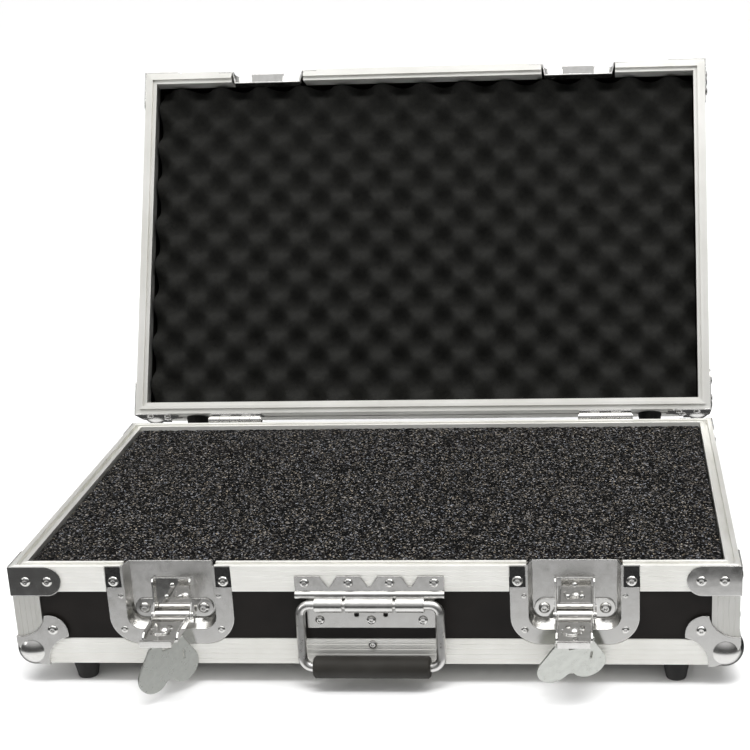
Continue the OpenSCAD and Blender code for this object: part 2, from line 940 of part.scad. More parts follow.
module left_latch_arm() {
    on_arm(-1) latch_arm();
}

module left_latch_key() {
    on_arm(-1) latch_key(left_turn);
}

module left_latch_hook() {
    on_arm(-1) latch_hook();
}

module left_latch_wing() {
    on_key(-1, left_turn) translate([0, arm_y - wing_out, 0]) latch_wing();
}

module right_latch_arm() {
    on_arm(1) latch_arm();
}

module right_latch_key() {
    on_arm(1) latch_key(right_turn);
}

module right_latch_hook() {
    on_arm(1) latch_hook();
}

module right_latch_wing() {
    on_key(1, right_turn) translate([0, arm_y - wing_out, 0]) rotate([right_lean, 0, 0]) latch_wing();
}

// Keepers in the lid's dishes

module latch_keepers() {
    w = 34;
    edge_y = pivot_y + hook_y + press_t + 0.4;
    shelf_z = lid_z + 0.4;
    keeper_top = lid_z + lid_recess_h - 2 * recess_slope - part_gap;
    edge_z = pivot_z + hook_l - press_t - hook_travel - part_gap;
    color(steel) on_lid() for (side = [-1, 1]) translate([side * latch_x, 0, 0]) {
        box([-w / 2, recess_d - press_t, shelf_z], [w / 2, recess_d, keeper_top]);
        box([-w / 2, edge_y, shelf_z], [w / 2, recess_d, shelf_z + steel_t]);
        box([-w / 2, edge_y, shelf_z], [w / 2, edge_y + steel_t, edge_z]);
        for (s = [-1, 1]) translate([s * 9, recess_d - press_t, keeper_top - 3]) face_front() dome(2.2, 1.4);
    }
}

// Handle

rod_y = -bail_r - 2;
knuckle_out = 6.3;

// Lower edge of the handle plate's top flange
handle_flange_z = base_h - leg_w + 0.4;

module handle_plate() {
    low_top = handle_flange_z - 0.6;
    bead_z = handle_flange_z - 2.6;
    bead_r = 3.4;
    slot_r = 1.9;
    slot_z = low_top - (low_top - handle_low_z) * 0.64;
    knuckles = [[-45, -22], [-19.5, 19.5], [22, 45]];
    color(steel) difference() {
        union() {
            in_face(-press_t, 0) translate([-handle_w / 2, handle_flange_z - 1])
                square([handle_w, handle_flange_h + 1]);
            intersection() {
                translate([0, -press_t, bead_z]) rotate([0, 90, 0])
                    cylinder(r = bead_r, h = handle_w, center = true);
                box([-handle_w, -20, 0], [handle_w, 0, base_h]);
            }
            box([-handle_low_w / 2, -press_t, bead_z - 1], [handle_low_w / 2, edge_t, bead_z + 1]);
            in_face(edge_t - press_t, edge_t) translate([-handle_low_w / 2, handle_low_z])
                square([handle_low_w, low_top - handle_low_z]);
            for (k = knuckles) translate([0, rod_y, rod_z]) rotate([0, 90, 0])
                translate([0, 0, k[0]]) cylinder(r = knuckle_out, h = k[1] - k[0]);
            for (k = knuckles)
                box([k[0], rod_y, rod_z], [k[1], edge_t - press_t + eps, rod_z + knuckle_out]);
        }
        translate([0, rod_y, rod_z]) rotate([0, 90, 0])
            cylinder(r = bail_r + run_gap, h = handle_w + 10, center = true);
        for (i = [-1 : 1]) translate([i * notch_pitch, 0, handle_flange_z + handle_flange_h])
            in_face(-5, 5) hull() {
                translate([-notch_w / 2, 0]) square([notch_w, 1]);
                translate([0, -notch_h + 2]) circle(r = 2);
            }
        for (s = [-1, 1]) in_face(-1, edge_t + 1) hull() for (z = [slot_z, slot_z + 1.8 * slot_r])
            translate([s * handle_slot_x, z]) circle(r = slot_r);
    }
}

module handle_rivets() {
    r = 3.9;
    h = 1.8;
    z_top = handle_flange_z + handle_flange_h * 0.58;
    z_low = handle_low_z + 1.8 * r;
    end_x = handle_w / 2 - handle_rivet_in;
    low_x = handle_low_w / 2 - handle_rivet_in - 2;
    color(steel) placed() {
        for (x = [-end_x, -handle_rivet_x, handle_rivet_x, end_x])
            translate([x, -press_t, z_top]) face_front() rivet(r, h);
        for (x = [-low_x, 0, low_x]) translate([x, edge_t - press_t, z_low]) face_front() rivet(r, h);
        translate([0, 0, leg_w - r - 0.9]) face_front() rivet(r, h);
    }
}

// The bail hangs against the case, so it leans out until the grip clears the bottom edging
lean = asin((grip_r + part_gap + rod_y) / bail_drop);

module on_bail() {
    placed() translate([0, rod_y, rod_z]) rotate([-lean, 0, 0]) children();
}

// A quarter bend of rod from straight down to straight inward, drawn at its start
module bend(r) {
    rotate([90, 0, 0]) rotate_extrude(angle = 90) translate([r, 0]) circle(r = bail_r);
}

module handle_bail() {
    top_bend = 8;
    low_bend = (bail_w - grip_l) / 2 - part_gap;
    half = bail_w / 2;
    color(steel) on_bail() {
        rotate([0, 90, 0]) cylinder(r = bail_r, h = bail_w - 2 * top_bend, center = true);
        translate([0, 0, -bail_drop]) rotate([0, 90, 0])
            cylinder(r = bail_r, h = bail_w - 2 * low_bend, center = true);
        for (m = [0, 1]) mirror([m, 0, 0]) {
            translate([half, 0, -bail_drop + low_bend])
                cylinder(r = bail_r, h = bail_drop - top_bend - low_bend);
            translate([half - top_bend, 0, -top_bend]) bend(top_bend);
            translate([half - low_bend, 0, -bail_drop + low_bend]) mirror([0, 0, 1]) bend(low_bend);
        }
    }
}

module handle_grip() {
    soft = 1.6;
    r = grip_r;
    h = grip_l / 2;
    color(rubber_black) on_bail() translate([0, 0, -bail_drop]) rotate([0, 90, 0])
        rotate_extrude() polygon([
            [bail_r + run_gap, -h], [r - soft, -h], [r, -h + soft], [r, h - soft], [r - soft, h],
            [bail_r + run_gap, h]
        ]);
}

// Hinges

hinge_parts = 5;

// The x range of one knuckle, from the middle of a hinge
function knuckle_x(i) = [
    -hinge_l / 2 + i * hinge_l / hinge_parts + part_gap / 2,
    -hinge_l / 2 + (i + 1) * hinge_l / hinge_parts - part_gap / 2
];

// A leaf below the axis with every second knuckle, counted from the first
module hinge_leaf(first) {
    leaf_h = 20;
    color(steel) for (side = [-1, 1]) translate([side * hinge_x, 0, 0]) difference() {
        union() {
            box(
                [-hinge_l / 2, case_d, hinge_z - part_gap - leaf_h],
                [hinge_l / 2, case_d + press_t, hinge_z - part_gap]
            );
            for (i = [first : 2 : hinge_parts - 1]) {
                box(
                    [knuckle_x(i)[0], case_d, hinge_z - knuckle_r],
                    [knuckle_x(i)[1], hinge_y, hinge_z - hinge_pin_r - 0.1]
                );
                translate([knuckle_x(i)[0], hinge_y, hinge_z]) rotate([0, 90, 0])
                    cylinder(r = knuckle_r, h = knuckle_x(i)[1] - knuckle_x(i)[0]);
            }
        }
        translate([0, hinge_y, hinge_z]) rotate([0, 90, 0])
            cylinder(r = hinge_pin_r + run_gap, h = hinge_l + 2, center = true);
        box(
            [-hinge_l, case_d - 1, hinge_z - part_gap],
            [hinge_l, case_d + press_t + 1, hinge_z + knuckle_r]
        );
    }
}

// Rivets of the leaves above the axis for up = 1, below it for up = -1
module hinge_leaf_rivets(up) {
    for (side = [-1, 1], s = [-1, 1])
        translate([side * hinge_x + s * hinge_l * 0.3, case_d + press_t, hinge_z + up * 12.5])
            rotate([-90, 0, 0]) rivet(3.6, 1.4);
}

module hinge_base_leaves() {
    placed() hinge_leaf(0);
}

module hinge_lid_leaves() {
    on_lid() translate([0, 0, 2 * hinge_z]) mirror([0, 0, 1]) hinge_leaf(1);
}

module hinge_pins() {
    color(steel) placed() for (side = [-1, 1])
        translate([side * hinge_x, hinge_y, hinge_z]) rotate([0, 90, 0]) {
            cylinder(r = hinge_pin_r, h = hinge_l, center = true);
            for (s = [-1, 1]) translate([0, 0, s * (hinge_l / 2 + 0.5)])
                cylinder(r = knuckle_r - 1, h = 1, center = true);
        }
}

// Lid

module lid_top_panel() {
    color(black) on_lid() under_top() floor_panel();
}

module lid_front_panel() {
    color(black) on_lid() difference() {
        trim_top() wall_panel_x(lid_z + rim_head, top_z - inner_face);
        over_rim() for (side = [-1, 1])
            translate([side * latch_x, 0, 0]) in_face(0, dish_back)
                recess_outline(steel_t + part_gap, base_h - lid_recess_h, 8, base_h);
    }
}

module lid_rear_panel() {
    color(black) on_lid() trim_top() at_rear() wall_panel_x(lid_z + rim_head, top_z - inner_face);
}

module lid_left_panel() {
    color(black) on_lid() trim_top() wall_panel_y(lid_z + rim_head, top_z - inner_face);
}

module lid_right_panel() {
    color(black) on_lid() mirror([1, 0, 0]) trim_top() wall_panel_y(lid_z + rim_head, top_z - inner_face);
}

module lid_top_edging() {
    color(silver) on_lid() under_top() trim_bottom() {
        mitred_bar(case_w, angle_section());
        at_rear() mitred_bar(case_w, angle_section());
        at_left() side_bar(angle_section());
        at_right() side_bar(angle_section());
    }
}

module lid_rim_front() {
    color(silver) on_lid() over_rim() difference() {
        translate([0, 0, base_h]) mitred_bar(case_w, tongue_rim());
        dish_cuts(base_h - leg_w - 1);
    }
}

module lid_rim_rear() {
    color(silver) on_lid() over_rim() at_rear() translate([0, 0, base_h])
        mitred_bar(case_w, tongue_rim());
}

module lid_rim_sides() {
    color(silver) on_lid() over_rim() translate([0, 0, base_h]) {
        at_left() side_bar(tongue_rim());
        at_right() side_bar(tongue_rim());
    }
}

module lid_rivets() {
    color(steel) on_lid() {
        under_top() at_corners() ball_corner_rivets(lobe_at - 1, lid_lobe_h - 5);
        over_rim() at_corners() brace_rivets(lid_brace_h);
        over_rim() for (side = [-1, 1], s = [-1, 1])
            translate([side * latch_x + s * (recess_w + flange_w) / 4, flange_y, base_h - lid_recess_h + 4])
                face_front() rivet(3.9, 1.4);
        hinge_leaf_rivets(1);
    }
}

// The lid foam: peaks and valleys in a checkerboard, with a saddle point in each square
crate_step = crate_pitch / 2;
crate_edge = rim_t + foam_gap + 0.6;
crate_nx = floor((case_w - 2 * crate_edge) / crate_step);
crate_x0 = -case_w / 2 + crate_edge;
crate_y0 = max(crate_edge, dish_back + foam_gap);
crate_ny = floor((case_d - crate_edge - crate_y0) / crate_step);
crate_dx = (case_w - 2 * crate_edge) / crate_nx;
crate_dy = (case_d - crate_edge - crate_y0) / crate_ny;

module lid_foam() {
    cols = crate_nx + 1;
    rows = crate_ny + 1;
    back_z = top_z - inner_face;
    mean_z = back_z - lid_foam_t + crate_h / 2;
    corners = [for (j = [0 : crate_ny], i = [0 : crate_nx])
        [crate_x0 + i * crate_dx, crate_y0 + j * crate_dy,
            mean_z + crate_h / 2 * cos(180 * i) * cos(180 * j)]];
    saddles = [for (j = [0 : crate_ny - 1], i = [0 : crate_nx - 1])
        [crate_x0 + (i + 0.5) * crate_dx, crate_y0 + (j + 0.5) * crate_dy, mean_z]];
    s0 = len(corners);
    ring = concat(
        [for (i = [0 : crate_nx]) i],
        [for (j = [1 : crate_ny]) j * cols + crate_nx],
        [for (i = [crate_nx - 1 : -1 : 0]) crate_ny * cols + i],
        [for (j = [crate_ny - 1 : -1 : 1]) j * cols]
    );
    b0 = s0 + len(saddles);
    backs = [for (k = ring) [corners[k][0], corners[k][1], back_z]];
    n = len(ring);
    faces = concat(
        [for (j = [0 : crate_ny - 1], i = [0 : crate_nx - 1], k = [0 : 3])
            let (q = [j * cols + i, j * cols + i + 1, (j + 1) * cols + i + 1, (j + 1) * cols + i])
            [q[k], q[(k + 1) % 4], s0 + j * crate_nx + i]],
        [for (k = [0 : n - 1]) [ring[k], b0 + k, b0 + (k + 1) % n]],
        [for (k = [0 : n - 1]) [ring[k], b0 + (k + 1) % n, ring[(k + 1) % n]]],
        [for (k = [0 : n - 1]) [b0 + (k + 1) % n, b0 + k, b0 + n]]
    );
    middle = [0, crate_y0 + crate_ny * crate_dy / 2, back_z];
    color(foam_grey) on_lid() polyhedron(
        points = concat(corners, saddles, backs, [middle]),
        faces = faces
    );
}

base_floor_panel();
base_front_panel();
base_rear_panel();
base_left_panel();
base_right_panel();
base_lining();
base_foam();
base_bottom_edging();
base_corner_edging();
base_rim_front();
base_rim_rear();
base_rim_sides();
base_front_ball_corners();
base_rear_ball_corners();
base_rim_braces();
base_rivets();
base_feet();
foot_screws();
base_rear_feet();
left_latch_dish();
right_latch_dish();
latch_tabs();
left_latch_bracket();
right_latch_bracket();
latch_pivot_pins();
latch_rivets();
placed() handle_plate();
handle_rivets();
hinge_base_leaves();
hinge_pins();
left_latch_arm();
left_latch_key();
left_latch_hook();
left_latch_wing();
right_latch_arm();
right_latch_key();
right_latch_hook();
right_latch_wing();
handle_bail();
handle_grip();
lid_top_panel();
lid_front_panel();
lid_rear_panel();
lid_left_panel();
lid_right_panel();
lid_foam();
lid_top_edging();
lid_rim_front();
lid_rim_rear();
lid_rim_sides();
lid_front_ball_corners();
lid_rear_ball_corners();
lid_rim_braces();
lid_rivets();
lid_latch_dishes();
latch_keepers();
hinge_lid_leaves();
lid_rear_feet();
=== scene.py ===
import bmesh
import bpy
import json
import math
import numpy as np
from mathutils import Matrix, Vector


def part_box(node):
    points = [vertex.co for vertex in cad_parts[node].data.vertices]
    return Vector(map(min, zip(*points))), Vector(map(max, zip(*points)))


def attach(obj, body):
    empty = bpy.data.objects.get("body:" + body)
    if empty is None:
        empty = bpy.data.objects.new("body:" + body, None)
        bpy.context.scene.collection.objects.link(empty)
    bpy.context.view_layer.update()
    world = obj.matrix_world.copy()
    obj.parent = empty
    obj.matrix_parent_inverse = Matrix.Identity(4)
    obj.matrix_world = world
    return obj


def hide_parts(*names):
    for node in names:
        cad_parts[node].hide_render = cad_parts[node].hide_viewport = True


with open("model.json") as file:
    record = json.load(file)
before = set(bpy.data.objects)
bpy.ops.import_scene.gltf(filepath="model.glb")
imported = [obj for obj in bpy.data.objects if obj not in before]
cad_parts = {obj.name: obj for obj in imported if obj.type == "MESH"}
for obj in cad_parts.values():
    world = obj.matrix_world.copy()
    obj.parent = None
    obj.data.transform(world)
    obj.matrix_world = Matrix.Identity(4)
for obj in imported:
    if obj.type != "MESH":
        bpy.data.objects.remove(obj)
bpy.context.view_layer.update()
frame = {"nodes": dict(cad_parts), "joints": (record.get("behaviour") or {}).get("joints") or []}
nodes = frame["nodes"]
mm = 0.001
# The lid stands open at rest: its grain and its foam are laid out as on a shut lid, then turned
lidJoint = next(j for j in frame["joints"] if j["name"] == "lid_hinge")
lidTurn = math.radians(max(lidJoint["range_deg"]))
hingePoint = Vector(lidJoint["pos_m"])
print("frame loaded")


# Colours and shader nodes

def linearColour(hexColour):
    channels = [int(hexColour[i:i + 2], 16) / 255 for i in (1, 3, 5)]
    return [c / 12.92 if c <= 0.04045 else ((c + 0.055) / 1.055) ** 2.4 for c in channels] + [1.0]


# Adds a shader node: inputs are values or sockets to link, settings are the node's own options
def addNode(tree, kind, inputs=None, **settings):
    node = tree.nodes.new(kind)
    for name, value in settings.items():
        setattr(node, name, value)
    for name, value in (inputs or {}).items():
        socket = node.inputs[name]
        if isinstance(value, bpy.types.NodeSocket):
            tree.links.new(value, socket)
        else:
            socket.default_value = value
    return node


# A material with one shader. The surface holds the numbers that are the same all over it
def newMaterial(name, surface):
    material = bpy.data.materials.new(name)
    material.use_nodes = True
    tree = material.node_tree
    tree.nodes.clear()
    shader = addNode(tree, "ShaderNodeBsdfPrincipled", surface)
    addNode(tree, "ShaderNodeOutputMaterial", {"Surface": shader.outputs[0]})
    return material, tree, shader


# Feeds the shader what varies over the surface
def feed(tree, shader, colour, normal, roughness=None):
    tree.links.new(colour, shader.inputs["Base Color"])
    tree.links.new(normal, shader.inputs["Normal"])
    if roughness is not None:
        tree.links.new(roughness, shader.inputs["Roughness"])


# A noise whose features are size metres across: one number, or one each for x, y and z, turned
# about x
def grain(tree, size, detail=2.0, turn=0.0):
    coords = addNode(tree, "ShaderNodeTexCoord").outputs["Object"]
    steps = size if isinstance(size, tuple) else (size, size, size)
    placed = addNode(tree, "ShaderNodeMapping", {
        "Vector": coords, "Rotation": (turn, 0.0, 0.0), "Scale": steps}, vector_type="TEXTURE")
    return addNode(tree, "ShaderNodeTexNoise", {
        "Vector": placed.outputs[0], "Scale": 1.0, "Detail": detail, "Roughness": 0.55}).outputs[0]


def foamCells(tree, size):
    coords = addNode(tree, "ShaderNodeTexCoord").outputs["Object"]
    return addNode(tree, "ShaderNodeTexVoronoi", {"Vector": coords, "Scale": 1 / size}).outputs


# Maps a span to low and high. The usual one is the span in which most of a noise lies
def ramp(tree, value, low, high, fromLow=0.3, fromHigh=0.7):
    return addNode(tree, "ShaderNodeMapRange", {
        "Value": value, "From Min": fromLow, "From Max": fromHigh,
        "To Min": low, "To Max": high}).outputs[0]


# Mixes two colours, each a hex colour or a socket: factor 0 is the first, 1 the second
def blend(tree, factor, first, second):
    mixed = addNode(tree, "ShaderNodeMix", data_type="RGBA")
    tree.links.new(factor, mixed.inputs[0])
    for socket, value in ((mixed.inputs[6], first), (mixed.inputs[7], second)):
        if isinstance(value, bpy.types.NodeSocket):
            tree.links.new(value, socket)
        else:
            socket.default_value = linearColour(value)
    return mixed.outputs[2]


def bumped(tree, height, depth, strength=1.0, under=None):
    inputs = {"Height": height, "Distance": depth, "Strength": strength}
    if under is not None:
        inputs["Normal"] = under
    return addNode(tree, "ShaderNodeBump", inputs).outputs[0]


# Rounds sharp edges in the shading only, as wide as the real piece's bends
def softEdges(tree, radius):
    return addNode(tree, "ShaderNodeBevel", {"Radius": radius}, samples=4).outputs[0]


# Materials

# Milky, half and bare say how much metal shows through the oxide. Real die lines are finer than
# a pixel, so they are drawn coarser
aluminiumLook = {
    "pale": "#f0efeb", "worn": "#e3e2dc", "clouds": 60 * mm, "roughness": (0.37, 0.49),
    "milky": 0.4, "half": 0.7, "bare": 0.95,
    "dieLine": 0.7 * mm, "lineLength": 150 * mm, "lineDepth": 0.01 * mm, "lineStrength": 0.5}


# Anodised aluminium, extruded: its milky oxide layer scatters light over a soft metallic shine, so
# the eye sees near white bars with fine die lines. Seen along its lines a bar shows more bare metal
def anodisedAluminium(name, axis, layer, turn=0.0):
    look = aluminiumLook
    material, tree, shader = newMaterial("anodised aluminium " + name, {"Metallic": look[layer]})
    steps = tuple(look["lineLength"] if way == axis else look["dieLine"] for way in "xyz")
    lines = grain(tree, steps, detail=3.0, turn=turn)
    clouds = grain(tree, look["clouds"], detail=3.0)
    feed(tree, shader,
         colour=blend(tree, ramp(tree, clouds, 0.0, 1.0), look["worn"], look["pale"]),
         normal=bumped(tree, lines, look["lineDepth"], look["lineStrength"]),
         roughness=ramp(tree, lines, *look["roughness"]))
    return material


laminateLook = {
    "black": "#110e0c", "scuff": "#221e1b", "scuffed": 0.6, "clouds": 45 * mm,
    "roughness": (0.4, 0.6), "pebble": 0.9 * mm, "depth": 0.08 * mm}


# Phenolic laminate on plywood: black with a fine moulded pebble that breaks the shine
def blackLaminate():
    look = laminateLook
    material, tree, shader = newMaterial("black laminate", {
        "IOR": 1.45, "Specular IOR Level": 0.3})
    pebble = grain(tree, look["pebble"])
    clouds = grain(tree, look["clouds"], detail=4.0)
    feed(tree, shader,
         colour=blend(tree, ramp(tree, clouds, 0.0, look["scuffed"]), look["black"], look["scuff"]),
         normal=bumped(tree, pebble, look["depth"]),
         roughness=ramp(tree, pebble, *look["roughness"]))
    return material


# HazeShare is the share of a steel's roughness in its clear and in its hazy places
steelLook = {
    "wave": 16 * mm, "fold": 0.9 * mm, "haze": 6 * mm, "hazeShare": (0.85, 1.2),
    "scratch": (9 * mm, 0.4 * mm, 5 * mm), "scratchDepth": 0.004 * mm, "scratchStrength": 0.4}
chromeTones = {"dull": "#dcdbd8", "bright": "#e6e5e3"}
zincTones = {"dull": "#bdbfba", "bright": "#cfd1cc"}


# Plated pressed steel: a mirror made uneven by the pressing, hazy in places and finely scratched
def platedSteel(name, tones, roughness, waveDepth):
    look = steelLook
    material, tree, shader = newMaterial(name, {"Metallic": 1.0})
    wave = grain(tree, look["wave"], detail=1.0)
    haze = grain(tree, look["haze"], detail=4.0)
    scratch = grain(tree, look["scratch"])
    waved = bumped(tree, wave, waveDepth, under=softEdges(tree, look["fold"]))
    clear, hazy = (roughness * share for share in look["hazeShare"])
    feed(tree, shader,
         colour=blend(tree, ramp(tree, haze, 0.0, 1.0), tones["dull"], tones["bright"]),
         normal=bumped(tree, scratch, look["scratchDepth"], look["scratchStrength"], waved),
         roughness=ramp(tree, haze, clear, hazy))
    return material


# The real grain is finer than a pixel, so it is drawn coarser
rubberLook = {
    "grip": "#272521", "foot": "#090909", "bloom": "#3f3d3a", "bloomed": 0.3,
    "bloomSize": 20 * mm, "roughness": (0.45, 0.68), "grain": 0.5 * mm, "depth": 0.04 * mm}


# Moulded rubber: a dull black with a fine spark-eroded grain and a grey bloom in patches
def mouldedRubber(name, colour):
    look = rubberLook
    material, tree, shader = newMaterial(name, {"IOR": 1.45, "Specular IOR Level": 0.35})
    spark = grain(tree, look["grain"], detail=3.0)
    bloom = grain(tree, look["bloomSize"], detail=3.0)
    feed(tree, shader,
         colour=blend(tree, ramp(tree, bloom, 0.0, look["bloomed"]), colour, look["bloom"]),
         normal=bumped(tree, spark, look["depth"]),
         roughness=ramp(tree, spark, *look["roughness"]))
    return material


# Pore is where a cell goes from its face to its deep colour, outwards from its middle: that deep
# colour is a painted shade of the open pore
eggFoamLook = {
    "deep": "#111110", "face": "#282825", "cell": 0.8 * mm, "pore": (0.1, 0.6),
    "depth": 0.35 * mm, "clouds": 3 * mm, "clouded": 0.5}


# Polyurethane acoustic foam, convoluted: soft black, with fine open cells that swallow the light.
# The shade in the cells is painted into the colour
def eggCrateFoam():
    look = eggFoamLook
    material, tree, shader = newMaterial("egg crate foam", {"Roughness": 0.95, "IOR": 1.35})
    cells = foamCells(tree, look["cell"])["Distance"]
    clouds = grain(tree, look["clouds"], detail=4.0)
    # Painted shade: each cell's colour darkens from its face outwards, as its pore falls into shade
    paintedCellShade = blend(tree, ramp(tree, cells, 1.0, 0.0, *look["pore"]), look["deep"], look["face"])
    feed(tree, shader,
         colour=blend(tree, ramp(tree, clouds, 0.0, look["clouded"]), paintedCellShade, look["face"]),
         normal=bumped(tree, cells, look["depth"]))
    return material


# Pit is the painted shade inside the cells, and warm and cool are the painted glints of their
# walls. The higher the rarity, the fewer cells get a painted glint
blockFoamLook = {
    "pitShade": "#040404", "warmGlint": "#958a79", "coolGlint": "#858992", "rarity": 8.5,
    "cell": 1.2 * mm, "depth": 0.8 * mm}


# Charcoal ester foam, cut across: coarse open cells, black inside, whose walls glint in the light.
# Both the shade inside the cells and the glints on their walls are painted into the colour
def coarseFoam():
    look = blockFoamLook
    material, tree, shader = newMaterial("coarse charcoal foam", {
        "Roughness": 0.8, "IOR": 1.4, "Specular IOR Level": 0.1})
    cells = foamCells(tree, look["cell"])
    chance = addNode(tree, "ShaderNodeSeparateColor", {"Color": cells["Color"]}).outputs
    # Painted glints: the cells whose chance comes out high take a warm or cool glint colour, the
    # rest the painted shade of the pits
    paintedGlintShare = addNode(tree, "ShaderNodeMath", {0: chance[0], 1: look["rarity"]}, operation="POWER")
    paintedGlint = blend(tree, chance[1], look["warmGlint"], look["coolGlint"])
    feed(tree, shader,
         colour=blend(tree, paintedGlintShare.outputs[0], look["pitShade"], paintedGlint),
         normal=bumped(tree, cells["Distance"], look["depth"]))
    return material


feltLook = {"pile": "#2a2a29", "tip": "#4b4b49", "fibre": (2.4 * mm, 0.6 * mm, 0.6 * mm),
            "depth": 0.3 * mm}


# Needled polyester felt: a dull dark grey, lighter where short fibres stand up at the surface
def needledFelt():
    look = feltLook
    material, tree, shader = newMaterial("needled felt", {"Roughness": 0.95})
    fibres = grain(tree, look["fibre"], detail=4.0)
    feed(tree, shader,
         colour=blend(tree, ramp(tree, fibres, 0.0, 1.0), look["pile"], look["tip"]),
         normal=bumped(tree, fibres, look["depth"]))
    return material


paintLook = {
    "black": "#0d0d0d", "worn": "#2a2a2a", "wear": 0.3, "roughness": (0.22, 0.36),
    "peel": 2 * mm, "depth": 0.03 * mm}


# Black painted steel, of the small tabs on the latch dishes: glossy, with a slight orange peel
def blackPaint():
    look = paintLook
    material, tree, shader = newMaterial("black painted steel", {"IOR": 1.5})
    peel = grain(tree, look["peel"])
    feed(tree, shader,
         colour=blend(tree, ramp(tree, peel, 0.0, look["wear"]), look["black"], look["worn"]),
         normal=bumped(tree, peel, look["depth"]),
         roughness=ramp(tree, peel, *look["roughness"]))
    return material


barX = anodisedAluminium("x", "x", "milky")
barY = anodisedAluminium("y", "y", "bare")
barZ = anodisedAluminium("z", "z", "bare")
barLid = anodisedAluminium("lid", "x", "half", -lidTurn)
barLidSide = anodisedAluminium("lid side", "y", "bare", -lidTurn)
laminate = blackLaminate()
brightSteel = platedSteel("chromed steel", chromeTones, roughness=0.06, waveDepth=0.03 * mm)
pressedSteel = platedSteel(
    "pressed chromed steel", chromeTones, roughness=0.22, waveDepth=0.04 * mm)
drawnSteel = platedSteel(
    "drawn chromed steel rod", chromeTones, roughness=0.3, waveDepth=0.03 * mm)
# The wings are only zinc plated: greyer and duller than the chrome around them
zincSteel = platedSteel("zinc plated steel", zincTones, roughness=0.3, waveDepth=0.03 * mm)
gripRubber = mouldedRubber("moulded grip", rubberLook["grip"])
footRubber = mouldedRubber("moulded foot", rubberLook["foot"])
eggFoam, blockFoam, felt, paint = eggCrateFoam(), coarseFoam(), needledFelt(), blackPaint()

# A node takes the first finish whose key is in its name. All others are bright chromed steel
finishes = {
    "panel": laminate, "rim_braces": brightSteel, "base_rim_sides": barY,
    "lid_rim_sides": barLidSide, "lid_rim": barLid, "base_rim_front": barX,
    "base_rim_rear": barX, "bottom_edging": barX, "top_edging": barX, "corner_edging": barZ,
    "wing": zincSteel, "handle_plate": pressedSteel, "handle_bail": drawnSteel, "tabs": paint,
    "feet": footRubber, "grip": gripRubber, "dish": pressedSteel, "ball_corners": pressedSteel,
    "lining": felt}

for name, node in nodes.items():
    finish = next((m for key, m in finishes.items() if key in name), brightSteel)
    node.data.materials.clear()
    node.data.materials.append(finish)
print("finishes given to the CAD nodes")


# Soft pieces

def turnedAtHinge(point, angle):
    return hingePoint + Matrix.Rotation(angle, 3, "X") @ (Vector(point) - hingePoint)


# The box of a lid node as it lies on the shut lid
def closedBox(nodeName):
    points = np.array([turnedAtHinge(v.co, lidTurn) for v in nodes[nodeName].data.vertices])
    return points.min(0), points.max(0)


def meshObject(name, points, faces, material, body):
    mesh = bpy.data.meshes.new(name)
    mesh.from_pydata([tuple(p) for p in points], [], faces)
    mesh.validate()
    mesh.update()
    piece = bpy.data.objects.new(name, mesh)
    bpy.context.scene.collection.objects.link(piece)
    mesh.materials.append(material)
    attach(piece, body)
    return piece


# Smooths the shading across edges that bend less than crease degrees
def shadeSmooth(piece, crease):
    for polygon in piece.data.polygons:
        polygon.use_smooth = True
    piece.data.set_sharp_from_angle(angle=math.radians(crease))


# A slab whose one face is a height field: heights[j][i] is its level at xs[i] and ys[j], and back
# is the level of the flat face behind
def fieldSlab(xs, ys, heights, back):
    columns, rows = len(xs), len(ys)
    points = [(x, y, heights[j][i]) for j, y in enumerate(ys) for i, x in enumerate(xs)]
    corners = [j * columns + i for j in range(rows - 1) for i in range(columns - 1)]
    faces = [(k, k + 1, k + columns + 1, k + columns) for k in corners]
    ring = (list(range(columns)) + [j * columns + columns - 1 for j in range(1, rows)]
            + [(rows - 1) * columns + i for i in range(columns - 2, -1, -1)]
            + [j * columns for j in range(rows - 2, 0, -1)])
    start, count = len(points), len(ring)
    points += [(points[k][0], points[k][1], back) for k in ring]
    faces += [(ring[k], start + k, start + (k + 1) % count, ring[(k + 1) % count])
              for k in range(count)]
    faces.append(tuple(start + k for k in range(count - 1, -1, -1)))
    return points, faces


# PerStep is the number of mesh steps in one peak or valley. A round under 1 makes them blunt
eggCrate = {
    "columns": 26, "rows": 16, "height": 17 * mm, "perStep": 8, "round": 0.82,
    "cellNoise": 0.25 * mm, "seed": 7, "crease": 60}


# The lid's egg crate foam, in the lattice of its CAD solid: a checkerboard of round peaks and
# valleys
def makeEggCrate():
    look = eggCrate
    low, high = closedBox("lid_foam")
    xs = np.linspace(low[0], high[0], look["columns"] * look["perStep"] + 1)
    ys = np.linspace(low[1], high[1], look["rows"] * look["perStep"] + 1)
    u = np.cos(np.pi * np.arange(len(xs)) / look["perStep"])
    v = np.cos(np.pi * np.arange(len(ys)) / look["perStep"])
    wave = np.outer(v, u)
    wave = np.sign(wave) * np.abs(wave) ** look["round"]
    rough = np.random.default_rng(look["seed"]).normal(0, look["cellNoise"], wave.shape)
    middle = low[2] + look["height"] / 2
    heights = np.maximum(middle + look["height"] / 2 * wave + rough, low[2])
    points, faces = fieldSlab(xs, ys, heights, high[2])
    opened = [turnedAtHinge(p, -lidTurn) for p in points]
    piece = meshObject("egg_crate_foam", opened, faces, eggFoam, "lid")
    shadeSmooth(piece, look["crease"])
    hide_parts("lid_foam")


# The sag's waves are in radians per metre, along x and y
foamBlock = {
    "step": 2.2 * mm, "roughness": 0.5 * mm, "edge": 1.6 * mm, "dip": 0.4 * mm,
    "sagWaves": (17, 23), "sagShift": 1, "seed": 11, "crease": 180}


